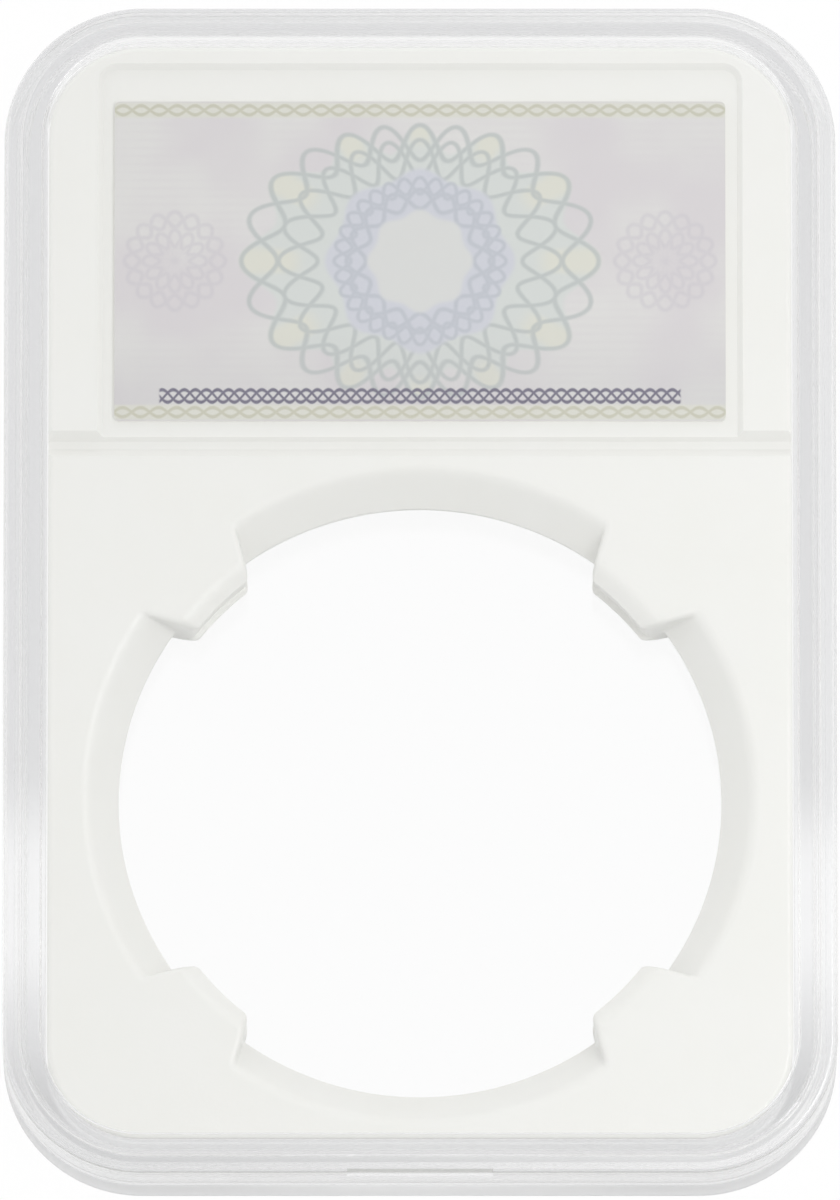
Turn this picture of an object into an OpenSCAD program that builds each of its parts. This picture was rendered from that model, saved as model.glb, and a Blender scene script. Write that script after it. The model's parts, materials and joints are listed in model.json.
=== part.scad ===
// Clear two-half coin case with a white four-prong insert and a printed label card.
// The case lies on its back. X is its width, Y its height with the label towards +Y,
// and Z its thickness, up from the foot ring that it rests on.
// The insert is laid out round the coin and the label, and the case round the insert.

/* [Coin] */
// Diameter of the coin
coin_d = 41; // [30:0.5:50]
// Thickness of the coin
coin_t = 3; // [2:0.1:3.4]
// Play between the coin's edge and the prongs
coin_clearance = 0.1; // [0.05:0.05:0.3]

/* [Coin opening] */
// Gap between the coin's edge and the throat of the opening
throat_gap = 1.2; // [0.8:0.1:4]
// Widening of the opening from its throat to the insert's faces
mouth_flare = 2.3; // [1:0.1:4]
// Height of the straight band at the throat
throat_band = 0.5; // [0.2:0.1:1.5]

/* [Prongs] */
// Number of prongs round the coin
prong_count = 4; // [3:1:6]
// Width of a prong across its tip, over the rounded corners
prong_tip_w = 6.2; // [3:0.1:8]
// Radius of the corners at a prong's tip
prong_corner_r = 0.9; // [0.2:0.1:1.2]
// Angle by which each side of a prong spreads towards its root
prong_spread = 29; // [10:1:40]
// Width of the bevel at a prong's tip
prong_bevel = 0.95; // [0.4:0.05:1.6]
// Reach of a prong's lips past the edge of the coin
lip_reach = 0.25; // [0.1:0.05:0.6]
// Height of a lip's straight edge
lip_land = 0.3; // [0.1:0.05:0.4]
// Rise of the coin groove's sloping sides
groove_draft = 0.15; // [0.05:0.05:0.3]

/* [Label] */
// Width of the label card
label_w = 44.1; // [30:0.1:50]
// Height of the label card
label_h = 23.7; // [15:0.1:35]
// Thickness of the label card
label_t = 0.25; // [0.1:0.05:0.35]
// Radius of the label card's corners
label_corner_r = 0.4; // [0.2:0.1:3]

/* [Label pocket] */
// Depth of the label pocket
pocket_depth = 0.4; // [0.35:0.05:0.6]
// Radius of the corners at the upper end of the pocket's floor
pocket_corner_r = 1; // [0.5:0.1:3]
// Play between the label card and the pocket's sides
pocket_play_side = 0.85; // [0.2:0.05:3]
// Play between the label card and the pocket's upper end
pocket_play_top = 2.4; // [0.2:0.1:5]
// Play between the label card and the thumbnail groove
pocket_play_low = 0.75; // [0.2:0.05:3]
// Width of the thumbnail groove between the label and the coin
thumb_groove_w = 1.9; // [1.6:0.1:4]
// Depth of the thumbnail groove
thumb_groove_depth = 0.65; // [0.5:0.05:0.75]

/* [Insert] */
// Thickness of the insert
insert_t = 5.5; // [4.8:0.1:9]
// Least width of the insert's face beside the coin opening
side_land = 2.8; // [1:0.1:8]
// Height of the insert's face below the coin opening
low_land = 1.2; // [0.8:0.1:8]
// Height of the insert's face between the coin opening and the thumbnail groove
mid_land = 1; // [0.5:0.1:8]
// Height of the insert's face above the label pocket
top_land = 1.25; // [0.8:0.05:8]
// Rounding of the insert's outer edges
insert_edge_r = 0.4; // [0.1:0.05:0.6]
// Play between the insert and the case's walls
insert_clearance = 0.15; // [0.05:0.05:0.4]
// Play between the insert and the front window
insert_headroom = 0.1; // [0.05:0.05:0.4]

/* [Case] */
// Thickness of the two window plates
plate_t = 1.3; // [0.8:0.1:2.5]
// Thickness of the case's wall along its long sides
wall_side = 3.05; // [2.5:0.05:4]
// Thickness of the case's wall along its short ends
wall_end = 2.55; // [2.4:0.05:4]
// Outside radius of the case's corners
corner_r = 10; // [6:0.5:14]
// Rounding of the case's outer edges
edge_r = 0.5; // [0.2:0.05:0.6]

/* [Stacking] */
// Width of the shoulder outside the raised rim
shoulder_w = 1.2; // [0.8:0.05:1.6]
// Width of the raised rim round the front window
rim_w = 1.6; // [0.8:0.05:2.4]
// Height of the raised rim
rim_h = 0.6; // [0.4:0.05:1.2]
// Rounding of the raised rim's two edges
rim_edge_r = 0.25; // [0.1:0.05:0.35]
// Height of the foot ring round the back
foot_h = 0.7; // [0.6:0.05:1.4]
// Play between the foot ring of one case and the raised rim of the next
stack_clearance = 0.1; // [0.05:0.05:0.2]

/* [Closure] */
// Thickness of the wall outside the tongue
tongue_inset = 0.9; // [0.7:0.05:1.1]
// Width of the tongue
tongue_w = 0.8; // [0.5:0.05:1]
// Height of the tongue
tongue_h = 1.4; // [0.8:0.05:1.8]
// Bevel that leads the tongue into its groove
tongue_lead = 0.2; // [0.1:0.05:0.24]
// Play on each side of the tongue
tongue_clearance = 0.1; // [0.05:0.05:0.2]
// Room above the tongue
tongue_room = 0.2; // [0.1:0.05:0.4]
// Gap that is left between the edges of the two halves when they are shut
seam_gap = 0.05; // [0.02:0.01:0.15]
// Rounding of the two edges along the seam
seam_edge_r = 0.15; // [0.05:0.05:0.3]

/* [Gate recess] */
// Width of the recess where the moulding gate was trimmed
gate_w = 10.5; // [4:0.5:20]
// Depth of the gate recess
gate_depth = 0.4; // [0.2:0.05:0.6]
// Height of the gate recess
gate_h = 0.9; // [0.5:0.05:1.2]

/* [Hidden] */
$fn = 96;

// How far a cut runs past the face that it opens
over = 0.5;
// How far a piece of a solid runs into the rest of it
sink = 0.3;
// How far a rounding runs past the edge that it meets
graze = 0.05;

// Radii about the coin's axis
groove_r = coin_d / 2 + coin_clearance;
lip_r = coin_d / 2 - lip_reach;
throat_r = coin_d / 2 + throat_gap;
mouth_r = throat_r + mouth_flare;
prong_root_r = mouth_r + 2 * over;

// The insert's outline
pocket_w = label_w + 2 * pocket_play_side;
pocket_mouth_w = pocket_w + 2 * pocket_depth;
coin_zone_h = low_land + 2 * mouth_r + mid_land;
label_zone_h = pocket_play_low + label_h + pocket_play_top + pocket_depth;
insert_w = max(2 * mouth_r, pocket_mouth_w) + 2 * side_land;
insert_h = coin_zone_h + thumb_groove_w + label_zone_h + top_land;

// The case's outline
cavity_w = insert_w + 2 * insert_clearance;
cavity_h = insert_h + 2 * insert_clearance;
cavity_r = corner_r - wall_side;
insert_r = cavity_r - insert_clearance;
case_w = cavity_w + 2 * wall_side;
case_h = cavity_h + 2 * wall_end;
foot_w = shoulder_w - stack_clearance;

// Heights above the resting surface
floor_z = foot_h + plate_t;
insert_face_z = floor_z + insert_t;
insert_mid_z = floor_z + insert_t / 2;
ceiling_z = insert_face_z + insert_headroom;
shoulder_z = ceiling_z + plate_t;
part_z = (floor_z + ceiling_z) / 2;
front_edge_z = part_z + seam_gap;
pocket_floor_z = insert_face_z - pocket_depth;

// Places along the case's height
coin_y = -insert_h / 2 + low_land + mouth_r;
thumb_groove_y = coin_y + mouth_r + mid_land + thumb_groove_w / 2;
pocket_low_y = thumb_groove_y + thumb_groove_w / 2;
label_y = pocket_low_y + pocket_play_low + label_h / 2;
pocket_top_y = label_y + label_h / 2 + pocket_play_top;

// A profile's points above its middle, joined to their mirror image below it
function both_halves(upper) = concat(
    [for (i = [len(upper) - 1:-1:0]) [upper[i][0], -upper[i][1]]],
    upper
);

module rounded_rect(w, h, r) {
    square([w - 2 * r, h], center = true);
    square([w, h - 2 * r], center = true);
    for (x = [-1, 1], y = [-1, 1])
        translate([x * (w / 2 - r), y * (h / 2 - r)])
            circle(r);
}

module rounded_plate(w, h, r, low_z, high_z) {
    translate([0, 0, low_z])
        linear_extrude(high_z - low_z)
            rounded_rect(w, h, r);
}

// Carries a profile round a rounded rectangle: its x runs inwards from the outline, its y upwards
module sweep_outline(w, h, r) {
    for (side = [0:3]) {
        lies_across = side % 2 == 1;
        half_span = (lies_across ? h : w) / 2;
        run = (lies_across ? w : h) - 2 * r;
        rotate(side * 90)
            translate([half_span, 0, 0])
                rotate([90, 0, 0])
                    linear_extrude(run, center = true)
                        mirror([1, 0])
                            children();
        rotate(side * 90)
            translate([half_span - r, run / 2, 0])
                rotate_extrude(angle = 90)
                    translate([r, 0])
                        mirror([1, 0])
                            children();
    }
}

// What a rounding of radius r takes off an upper edge at the profile's origin
module edge_waste(r) {
    difference() {
        translate([-over, -r])
            square([r + over, r + over]);
        translate([r, -r])
            circle(r);
    }
}

module round_upper_edge(w, h, r, z, edge) {
    translate([0, 0, z])
        sweep_outline(w, h, r)
            edge_waste(edge);
}

module round_lower_edge(w, h, r, z, edge) {
    translate([0, 0, z])
        sweep_outline(w, h, r)
            mirror([0, 1])
                edge_waste(edge);
}

module rim_profile() {
    translate([0, -sink])
        square([rim_w, rim_h - rim_edge_r + sink]);
    translate([rim_edge_r, 0])
        square([rim_w - 2 * rim_edge_r, rim_h]);
    for (x = [rim_edge_r, rim_w - rim_edge_r])
        translate([x, rim_h - rim_edge_r])
            circle(rim_edge_r);
}

module tongue_profile() {
    polygon([
        [0, -sink],
        [tongue_w, -sink],
        [tongue_w, tongue_h - tongue_lead],
        [tongue_w - tongue_lead, tongue_h],
        [tongue_lead, tongue_h],
        [0, tongue_h - tongue_lead]
    ]);
}

// The ring between two depths inside the case's outline
module wall_ring(outer_inset, inner_inset) {
    difference() {
        rounded_rect(case_w - 2 * outer_inset, case_h - 2 * outer_inset, corner_r - outer_inset);
        rounded_rect(case_w - 2 * inner_inset, case_h - 2 * inner_inset, corner_r - inner_inset);
    }
}

module tongue_groove() {
    translate([0, 0, part_z - over])
        linear_extrude(over + tongue_h + tongue_room)
            wall_ring(tongue_inset - tongue_clearance, tongue_inset + tongue_w + tongue_clearance);
}

module gate_recess() {
    translate([-gate_w / 2, -case_h / 2 - over, shoulder_z - edge_r - gate_h])
        cube([gate_w, over + gate_depth, gate_h]);
}

module front_shell() {
    color([0.86, 0.89, 0.9, 0.35])
        difference() {
            union() {
                rounded_plate(case_w, case_h, corner_r, front_edge_z, shoulder_z);
                translate([0, 0, shoulder_z])
                    sweep_outline(case_w - 2 * shoulder_w, case_h - 2 * shoulder_w, corner_r - shoulder_w)
                        rim_profile();
            }
            rounded_plate(cavity_w, cavity_h, cavity_r, part_z - over, ceiling_z);
            tongue_groove();
            round_upper_edge(case_w, case_h, corner_r, shoulder_z, edge_r);
            round_lower_edge(case_w, case_h, corner_r, front_edge_z, seam_edge_r);
            gate_recess();
        }
}

module rear_shell() {
    color([0.84, 0.87, 0.89, 0.35])
        difference() {
            union() {
                rounded_plate(case_w, case_h, corner_r, 0, part_z);
                translate([0, 0, part_z])
                    sweep_outline(case_w - 2 * tongue_inset, case_h - 2 * tongue_inset, corner_r - tongue_inset)
                        tongue_profile();
            }
            rounded_plate(cavity_w, cavity_h, cavity_r, floor_z, part_z + tongue_h + over);
            rounded_plate(case_w - 2 * foot_w, case_h - 2 * foot_w, corner_r - foot_w, -over, foot_h);
            round_upper_edge(case_w, case_h, corner_r, part_z, seam_edge_r);
            round_lower_edge(case_w, case_h, corner_r, 0, edge_r);
        }
}

// The hourglass round the coin: narrowest at the coin's edge, widest at the insert's two faces
module hourglass() {
    half_t = insert_t / 2;
    slope = mouth_flare / (half_t - throat_band / 2);
    upper = [
        [throat_r, throat_band / 2],
        [mouth_r + over * slope, half_t + over],
        [0, half_t + over]
    ];
    rotate_extrude()
        polygon(both_halves(upper));
}

// The space inside the prongs' tips: a bevel from each face, a lip and the groove for the coin's edge
module prong_tip_cut() {
    half_t = insert_t / 2;
    top_z = half_t + 2 * over;
    groove_edge_z = coin_t / 2;
    lip_z = groove_edge_z + groove_draft;
    bevel_z = lip_z + lip_land;
    bevel_slope = prong_bevel / (half_t - bevel_z);
    upper = [
        [groove_r, groove_edge_z],
        [lip_r, lip_z],
        [lip_r, bevel_z],
        [lip_r + (top_z - bevel_z) * bevel_slope, top_z],
        [0, top_z]
    ];
    rotate_extrude()
        polygon(both_halves(upper));
}

// A prong that points at the coin's axis, with rounded corners that run into the lip's edge
module prong_outline() {
    corner_axis_r = lip_r + prong_corner_r - graze;
    corner_y = prong_tip_w / 2 - prong_corner_r;
    corner_x = sqrt(pow(corner_axis_r, 2) - pow(corner_y, 2));
    tip_share = (lip_r - graze) / corner_axis_r;
    side_x = corner_x - prong_corner_r * sin(prong_spread);
    side_y = corner_y + prong_corner_r * cos(prong_spread);
    root_y = side_y + (prong_root_r - side_x) * tan(prong_spread);
    for (y = [-corner_y, corner_y])
        translate([corner_x, y])
            circle(prong_corner_r);
    polygon([
        [corner_x, -corner_y] * tip_share,
        [side_x, -side_y],
        [prong_root_r, -root_y],
        [prong_root_r, root_y],
        [side_x, side_y],
        [corner_x, corner_y] * tip_share
    ]);
}

module prongs() {
    difference() {
        for (i = [0:prong_count - 1])
            rotate((i + 0.5) * 360 / prong_count)
                linear_extrude(insert_t + 3 * over, center = true)
                    prong_outline();
        prong_tip_cut();
    }
}

// What is cut away round the coin: the hourglass less the prongs, which stay joined to the insert
module coin_opening() {
    translate([0, coin_y, insert_mid_z])
        difference() {
            hourglass();
            prongs();
        }
}

// The slope from the pocket's mouth down to its floor
module pocket_slope() {
    polygon([
        [-over, over],
        [pocket_depth, -pocket_depth],
        [pocket_depth + sink, -pocket_depth],
        [pocket_depth + sink, over]
    ]);
}

// A shallow pocket with sloping sides, open at its lower end to the thumbnail groove
module label_pocket() {
    half_h = pocket_top_y - thumb_groove_y;
    mouth_half_h = half_h + pocket_depth;
    translate([0, thumb_groove_y, insert_face_z])
        intersection() {
            union() {
                rounded_plate(pocket_w, 2 * half_h, pocket_corner_r, -pocket_depth, over);
                sweep_outline(pocket_mouth_w, 2 * mouth_half_h, pocket_corner_r + pocket_depth)
                    pocket_slope();
            }
            translate([-case_w / 2, 0, -pocket_depth - over])
                cube([case_w, mouth_half_h + 2 * over, pocket_depth + 3 * over]);
        }
}

module thumb_groove() {
    half_w = thumb_groove_w / 2;
    translate([0, thumb_groove_y, insert_face_z])
        rotate([90, 0, 90])
            linear_extrude(case_w, center = true)
                polygon([
                    [-half_w + thumb_groove_depth, -thumb_groove_depth],
                    [half_w - thumb_groove_depth, -thumb_groove_depth],
                    [half_w + over, over],
                    [-half_w - over, over]
                ]);
}

module coin_insert() {
    color([0.95, 0.95, 0.93])
        difference() {
            rounded_plate(insert_w, insert_h, insert_r, floor_z, insert_face_z);
            round_upper_edge(insert_w, insert_h, insert_r, insert_face_z, insert_edge_r);
            round_lower_edge(insert_w, insert_h, insert_r, floor_z, insert_edge_r);
            coin_opening();
            label_pocket();
            thumb_groove();
        }
}

module label_card() {
    color([0.84, 0.8, 0.82])
        translate([0, label_y, 0])
            rounded_plate(label_w, label_h, label_corner_r, pocket_floor_z, pocket_floor_z + label_t);
}

rear_shell();
front_shell();
coin_insert();
label_card();
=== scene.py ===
"""Looks of a clear two-half coin case with a white four-prong insert and a printed card.

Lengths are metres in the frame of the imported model: X runs across the case, Y along it towards the
card and Z out of its front window. The case lies on its back on a pale studio floor.
"""

import json
import logging
import math
from dataclasses import dataclass, field
from enum import Enum
from functools import cache, reduce
from typing import Optional, Union

import bmesh
import bpy
from mathutils import Matrix, Vector


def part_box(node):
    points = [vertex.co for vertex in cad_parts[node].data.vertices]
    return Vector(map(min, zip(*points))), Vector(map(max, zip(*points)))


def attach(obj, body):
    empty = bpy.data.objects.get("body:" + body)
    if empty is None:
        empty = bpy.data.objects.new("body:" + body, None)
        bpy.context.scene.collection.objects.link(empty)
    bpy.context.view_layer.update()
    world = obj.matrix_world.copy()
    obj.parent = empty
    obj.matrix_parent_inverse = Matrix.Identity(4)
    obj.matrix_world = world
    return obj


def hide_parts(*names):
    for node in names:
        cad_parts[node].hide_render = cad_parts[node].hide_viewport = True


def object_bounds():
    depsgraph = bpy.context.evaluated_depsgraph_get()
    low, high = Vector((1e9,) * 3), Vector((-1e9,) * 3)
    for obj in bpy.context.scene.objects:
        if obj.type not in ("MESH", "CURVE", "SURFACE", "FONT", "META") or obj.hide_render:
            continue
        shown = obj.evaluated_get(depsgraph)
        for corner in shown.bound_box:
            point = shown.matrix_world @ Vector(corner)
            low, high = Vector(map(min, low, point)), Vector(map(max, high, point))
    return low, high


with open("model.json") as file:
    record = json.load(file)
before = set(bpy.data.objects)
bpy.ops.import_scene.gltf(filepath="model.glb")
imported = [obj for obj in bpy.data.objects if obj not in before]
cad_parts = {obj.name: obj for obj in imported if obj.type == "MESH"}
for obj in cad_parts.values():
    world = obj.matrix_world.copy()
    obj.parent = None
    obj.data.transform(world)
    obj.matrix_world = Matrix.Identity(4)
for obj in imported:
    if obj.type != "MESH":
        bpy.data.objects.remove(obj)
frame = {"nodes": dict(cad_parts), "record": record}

MM = 0.001
CAD_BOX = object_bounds()
CASE_HALF = (CAD_BOX[1] - CAD_BOX[0]) / 2
CASE_CORNER = 10.0 * MM
SEATS = {mount["name"]: Vector(mount["pos_m"]) for mount in frame["record"]["mounts"]}

Span = tuple[float, float]
Colour = tuple[float, float, float]
Socket = bpy.types.NodeSocket
Outputs = bpy.types.bpy_prop_collection
Feed = Union[float, Colour, Socket]
Polar = tuple[Socket, Socket]
Layer = tuple[Socket, float, Colour]

# Values that a noise mostly stays between
NOISE_SPAN: Span = (0.3, 0.7)
# Places of a Mix node's colour sockets, whose names are shared by its other kinds
MIX_COLOURS = (6, 7)
MIX_RESULT = 2

log = logging.getLogger("coin_case")


class Body(Enum):
    """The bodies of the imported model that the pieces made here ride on."""

    REAR = "rear"
    FRONT = "front"
    INSERT = "insert"


class Ray(Enum):
    """Kinds of ray that a studio surface tells apart."""

    CAMERA = "Is Camera Ray"
    GLOSSY = "Is Glossy Ray"
    TRANSMISSION = "Is Transmission Ray"


def screen_colour(red: int, green: int, blue: int) -> Colour:
    """Returns a screen's colour, given from 0 to 255, as linear light from 0 to 1."""
    shares = [value / 255 for value in (red, green, blue)]
    return tuple(s / 12.92 if s <= 0.04045 else ((s + 0.055) / 1.055) ** 2.4 for s in shares)


class Graph:
    """A shader node tree that is filled node by node."""

    def __init__(self, tree: bpy.types.NodeTree) -> None:
        """Keeps the tree to fill."""
        self.tree = tree

    def add(self, kind: str, **settings: object) -> bpy.types.Node:
        """Adds one node.

        Args:
            kind: The node's type without its ShaderNode prefix.
            settings: Properties to set on the node.

        Returns:
            The new node.
        """
        node = self.tree.nodes.new("ShaderNode" + kind)
        for name, value in settings.items():
            setattr(node, name, value)
        return node

    def feed(self, socket: Socket, value: Feed) -> None:
        """Links a socket to an input, or sets a plain value or colour on it.

        Args:
            socket: The socket that is fed.
            value: Another node's output, a number or a colour.
        """
        if isinstance(value, Socket):
            self.tree.links.new(value, socket)
        elif isinstance(value, tuple) and socket.type == "RGBA":
            socket.default_value = (*value, 1.0)
        else:
            socket.default_value = value

    def math(self, operation: str, *values: Feed) -> Socket:
        """Adds a Math node.

        Args:
            operation: What the node does.
            values: One to three inputs.

        Returns:
            The result's socket.
        """
        node = self.add("Math", operation=operation)
        for socket, value in zip(node.inputs, values):
            self.feed(socket, value)
        return node.outputs[0]

    def fold(self, operation: str, values: list[Socket]) -> Socket:
        """Joins any number of values by one Math operation and returns the result."""
        return reduce(lambda first, second: self.math(operation, first, second), values)

    def off(self, value: Feed, place: float) -> Socket:
        """Returns how far a value is from a place."""
        return self.math("ABSOLUTE", self.math("SUBTRACT", value, place))

    def split(self, vector: Socket) -> tuple[Socket, Socket, Socket]:
        """Splits a vector.

        Args:
            vector: What is split.

        Returns:
            Its X, Y and Z.
        """
        node = self.add("SeparateXYZ")
        self.feed(node.inputs[0], vector)
        return tuple(node.outputs)

    def ramp(self, value: Feed, low: float, high: float, start: float = 0.0, end: float = 1.0) -> Socket:
        """Maps a value smoothly from one span to another.

        Args:
            value: What is mapped.
            low: Value that gives start.
            high: Value that gives end.
            start: Result at low and beyond it.
            end: Result at high and beyond it.

        Returns:
            The mapped value's socket.
        """
        node = self.add("MapRange", interpolation_type="SMOOTHSTEP")
        for name, given in (("From Min", low), ("From Max", high), ("To Min", start), ("To Max", end)):
            node.inputs[name].default_value = given
        self.feed(node.inputs["Value"], value)
        return node.outputs["Result"]

    def above(self, value: Feed, edge: float, fade: float) -> Socket:
        """Returns 1 above an edge and 0 below it, changing softly over the fade on both sides."""
        return self.ramp(value, edge - fade, edge + fade)

    def below(self, value: Feed, edge: float, fade: float) -> Socket:
        """Returns 1 below an edge and 0 above it, changing softly over the fade on both sides."""
        return self.ramp(value, edge - fade, edge + fade, 1.0, 0.0)

    def noise(self, vector: Socket, scale: Feed, detail: float) -> Socket:
        """Adds a noise.

        Args:
            vector: The point where it is read.
            scale: Its waves in a metre.
            detail: Its finer octaves.

        Returns:
            The noise's value.
        """
        node = self.add("TexNoise")
        for name, value in (("Vector", vector), ("Scale", scale), ("Detail", detail)):
            self.feed(node.inputs[name], value)
        return node.outputs[0]

    def inset(self, place: Socket, half_width: Feed, half_height: Feed, corner: Feed) -> Socket:
        """Measures how far a point lies inside a rounded rectangle about the Z axis.

        Args:
            place: The point.
            half_width: Half the rectangle's width.
            half_height: Half its height.
            corner: Its corner radius.

        Returns:
            The way in from the rectangle's outline.
        """
        x, y, _ = self.split(place)
        beyond = []
        for way, half in ((x, half_width), (y, half_height)):
            reach = self.math("SUBTRACT", half, corner)
            beyond.append(self.math("SUBTRACT", self.math("ABSOLUTE", way), reach))
        squares = [self.math("POWER", self.math("MAXIMUM", way, 0.0), 2.0) for way in beyond]
        arc = self.math("SQRT", self.math("ADD", *squares))
        side = self.math("MINIMUM", self.math("MAXIMUM", *beyond), 0.0)
        return self.math("SUBTRACT", corner, self.math("ADD", arc, side))

    def blend(self, share: Feed, first: Feed, second: Feed) -> Socket:
        """Mixes two colours.

        Args:
            share: Share of the second colour.
            first: The colour at a share of 0.
            second: The colour at a share of 1.

        Returns:
            The mixed colour.
        """
        node = self.add("Mix", data_type="RGBA")
        self.feed(node.inputs["Factor"], share)
        for place, colour in zip(MIX_COLOURS, (first, second)):
            self.feed(node.inputs[place], colour)
        return node.outputs[MIX_RESULT]

    def mix(self, share: Feed, first: Socket, second: Socket) -> Socket:
        """Mixes two shaders.

        Args:
            share: Share of the second shader.
            first: The shader at a share of 0.
            second: The shader at a share of 1.

        Returns:
            The mixed shader.
        """
        node = self.add("MixShader")
        for socket, value in zip(node.inputs, (share, first, second)):
            self.feed(socket, value)
        return node.outputs[0]

    def place(self, effect: bpy.types.NodeTree, **values: Feed) -> Outputs:
        """Places a shared effect.

        Args:
            effect: The node group.
            values: Its inputs, named with underscores for spaces.

        Returns:
            The group's outputs.
        """
        node = self.add("Group", node_tree=effect)
        for name, value in values.items():
            self.feed(node.inputs[name.replace("_", " ")], value)
        return node.outputs

    def show(self, shader: Socket) -> None:
        """Links a shader to the material's surface."""
        self.feed(self.tree.nodes["Material Output"].inputs["Surface"], shader)


class EffectGraph(Graph):
    """The node tree of a shared effect, with its given inputs and its results."""

    def __init__(self, name: str, inputs: tuple[str, ...], outputs: tuple[str, ...]) -> None:
        """Makes an empty group.

        Args:
            name: The group's name.
            inputs: Names of its inputs, numbers but for the one called Vector.
            outputs: Names of its outputs, all numbers.
        """
        super().__init__(bpy.data.node_groups.new(name, "ShaderNodeTree"))
        for way, titles in (("INPUT", inputs), ("OUTPUT", outputs)):
            for title in titles:
                kind = "NodeSocketVector" if title == "Vector" else "NodeSocketFloat"
                self.tree.interface.new_socket(title, in_out=way, socket_type=kind)
        self.given = self.tree.nodes.new("NodeGroupInput").outputs
        self.results = self.tree.nodes.new("NodeGroupOutput").inputs


class Effects:
    """Shader node groups that several finishes share, each built once."""

    GRAIN_DETAIL: dict[str, float] = {"Grain": 3.0, "Mottle": 2.0}
    STREAK_DETAIL: float = 1.0
    # Turn about Z, in radians, and stretch of each set of streaks
    STREAK_SETS: tuple[Span, ...] = ((0.5, 9.0), (-0.9, 14.0))
    STREAK_SPAN: Span = (0.66, 0.74)
    SPECK_SPAN: Span = (0.02, 0.05)
    # Solid core of a lathe line as a share of its half width, and the fade of its filled inside
    LINE_CORE: float = 0.2
    INSIDE_FADE: float = 0.25
    LEAST_RADIUS: float = 0.1

    @staticmethod
    @cache
    def grain() -> bpy.types.NodeTree:
        """Builds fine surface grain, with the slow mottle that moulded and pressed surfaces have.

        Returns:
            The group.
        """
        graph = EffectGraph("surface_grain", ("Vector", "Grain Scale", "Mottle Scale"), ("Grain", "Mottle"))
        for title, detail in Effects.GRAIN_DETAIL.items():
            noise = graph.noise(graph.given["Vector"], graph.given[title + " Scale"], detail)
            graph.feed(graph.results[title], noise)
        return graph.tree

    @staticmethod
    @cache
    def marks() -> bpy.types.NodeTree:
        """Builds hairline rubbing marks, in two crossed sets of streaks, and specks of dust.

        Returns:
            The group.
        """
        graph = EffectGraph("handling_marks", ("Vector", "Scale", "Amount"), ("Streaks", "Specks"))
        given = graph.given
        streaks = []
        for turn, stretch in Effects.STREAK_SETS:
            mapping = graph.add("Mapping")
            mapping.inputs["Rotation"].default_value = (0.0, 0.0, turn)
            mapping.inputs["Scale"].default_value = (1.0, stretch, 1.0)
            graph.feed(mapping.inputs["Vector"], given["Vector"])
            noise = graph.noise(mapping.outputs[0], given["Scale"], Effects.STREAK_DETAIL)
            streaks.append(graph.ramp(noise, *Effects.STREAK_SPAN))
        cells = graph.add("TexVoronoi")
        for name in ("Vector", "Scale"):
            graph.feed(cells.inputs[name], given[name])
        specks = graph.ramp(cells.outputs["Distance"], *Effects.SPECK_SPAN, 1.0, 0.0)
        for title, mask in (("Streaks", graph.fold("MAXIMUM", streaks)), ("Specks", specks)):
            graph.feed(graph.results[title], graph.math("MULTIPLY", mask, given["Amount"]))
        return graph.tree

    @staticmethod
    @cache
    def wall_zone() -> bpy.types.NodeTree:
        """Builds the measure of how far a point lies inside a rounded rectangle about the Z axis.

        Returns:
            The group.
        """
        graph = EffectGraph("wall_zone", ("Vector", "Half Width", "Half Height", "Corner"), ("Inset",))
        given = graph.given
        inset = graph.inset(given["Vector"], given["Half Width"], given["Half Height"], given["Corner"])
        graph.feed(graph.results["Inset"], inset)
        return graph.tree

    @staticmethod
    @cache
    def lathe_line() -> bpy.types.NodeTree:
        """Builds one closed line of engine-turned ornament, which swings about a circle or an oval.

        Returns:
            The group.
        """
        names = ("Radius", "Angle", "Mean", "Oval", "Swing", "Lobes", "Phase", "Width")
        graph = EffectGraph("lathe_line", names, ("Line", "Inside"))
        given = graph.given
        turn = graph.math("MULTIPLY_ADD", given["Angle"], given["Lobes"], given["Phase"])
        twice = graph.math("COSINE", graph.math("MULTIPLY", given["Angle"], 2.0))
        oval = graph.math("MULTIPLY_ADD", twice, given["Oval"], given["Mean"])
        curve = graph.math("MULTIPLY_ADD", graph.math("COSINE", turn), given["Swing"], oval)
        gap = graph.math("SUBTRACT", given["Radius"], curve)
        steepest = graph.math("MULTIPLY", given["Swing"], given["Lobes"])
        rise = graph.math("MULTIPLY", steepest, graph.math("SINE", turn))
        slope = graph.math("DIVIDE", rise, graph.math("MAXIMUM", given["Radius"], Effects.LEAST_RADIUS))
        stretch = graph.math("SQRT", graph.math("MULTIPLY_ADD", slope, slope, 1.0))
        away = graph.math("DIVIDE", graph.math("ABSOLUTE", gap), stretch)
        share = graph.math("DIVIDE", away, given["Width"])
        graph.feed(graph.results["Line"], graph.ramp(share, Effects.LINE_CORE, 1.0, 1.0, 0.0))
        graph.feed(graph.results["Inside"], graph.below(gap, 0.0, Effects.INSIDE_FADE))
        return graph.tree


def new_material(name: str) -> tuple[bpy.types.Material, Graph, bpy.types.Node]:
    """Makes a material with one Principled shader.

    Args:
        name: The material's name.

    Returns:
        The material, its graph and its Principled node.
    """
    material = bpy.data.materials.new(name)
    material.use_nodes = True
    return material, Graph(material.node_tree), material.node_tree.nodes["Principled BSDF"]


def add_bump(graph: Graph, shader: bpy.types.Node, height: Feed, strength: float, distance: float) -> None:
    """Feeds a height to a shader's normal through a Bump node.

    Args:
        graph: The material's graph.
        shader: The Principled node.
        height: The height from 0 to 1.
        strength: How strongly it bends the normal.
        distance: The height's real size.
    """
    bump = graph.add("Bump")
    for name, value in (("Strength", strength), ("Distance", distance), ("Height", height)):
        graph.feed(bump.inputs[name], value)
    graph.feed(shader.inputs["Normal"], bump.outputs[0])


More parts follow.
